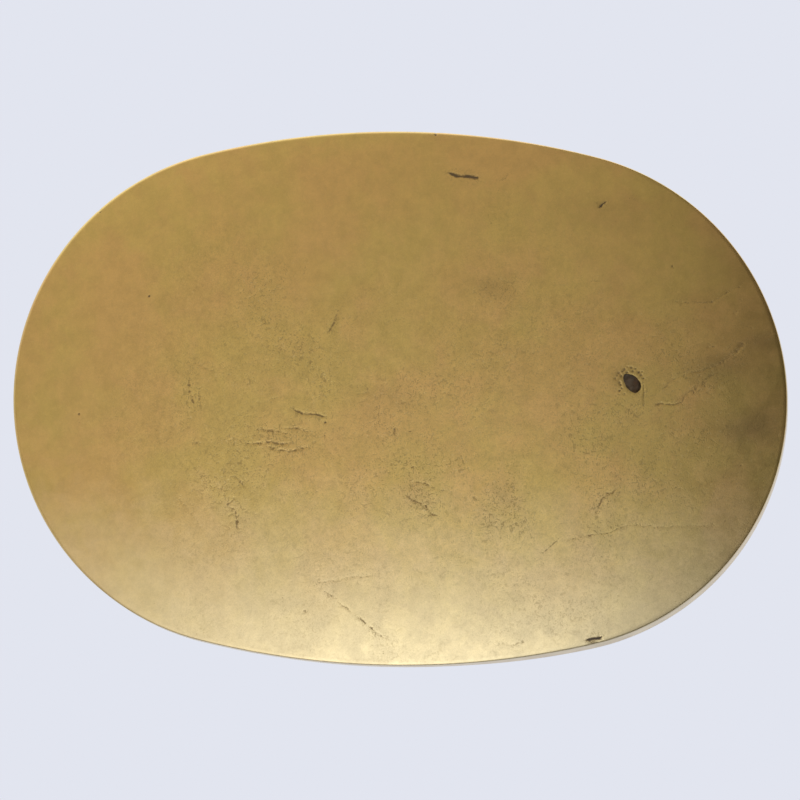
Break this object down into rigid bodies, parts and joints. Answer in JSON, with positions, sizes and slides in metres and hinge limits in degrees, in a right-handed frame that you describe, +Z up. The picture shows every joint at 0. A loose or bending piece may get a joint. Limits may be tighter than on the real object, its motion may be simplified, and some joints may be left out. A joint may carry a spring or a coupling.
{
  "type": "belt buckle",
  "caption": "Oval domed brass plate belt buckle with a hinged loop behind it for the belt's fixed end and a leaning hook for the holes of its free end.",
  "frame": {"origin": "centre of the back plate's rear face, on the line along which the belt holds the buckle", "axes": "+X along the buckle's length, from the loop towards the hook; +Y out of its back, towards the wearer; +Z up as worn"},
  "size_m": [0.083, 0.0135, 0.0572],
  "materials": {
    "face_brass": "worn satin, with fine scratches and small pits",
    "back_brass": "dull, tarnished sheet",
    "fitting_brass": "dull, rubbed bright on its edges",
    "dark_steel": "blackened, lightly rusted"
  },
  "bodies": {
    "buckle": {"face_shell": "face_brass", "back_plate": "back_brass", "bail_bracket": "fitting_brass", "bracket_rivet_1": "fitting_brass", "bracket_rivet_2": "fitting_brass", "bracket_rivet_3": "fitting_brass", "bracket_rivet_4": "fitting_brass", "hinge_pin": "dark_steel", "pin_washer_upper": "fitting_brass", "pin_washer_lower": "fitting_brass", "hook": "dark_steel", "hook_washer": "fitting_brass"},
    "loop": {"bail": "fitting_brass"}
  },
  "joints": [
    {"name": "bail_hinge", "type": "hinge", "parent": "buckle", "child": "loop", "pos_m": [-0.01486, 0.00768, 0], "axis": [0, 0, -1], "range_deg": [-18, 198]}
  ]
}
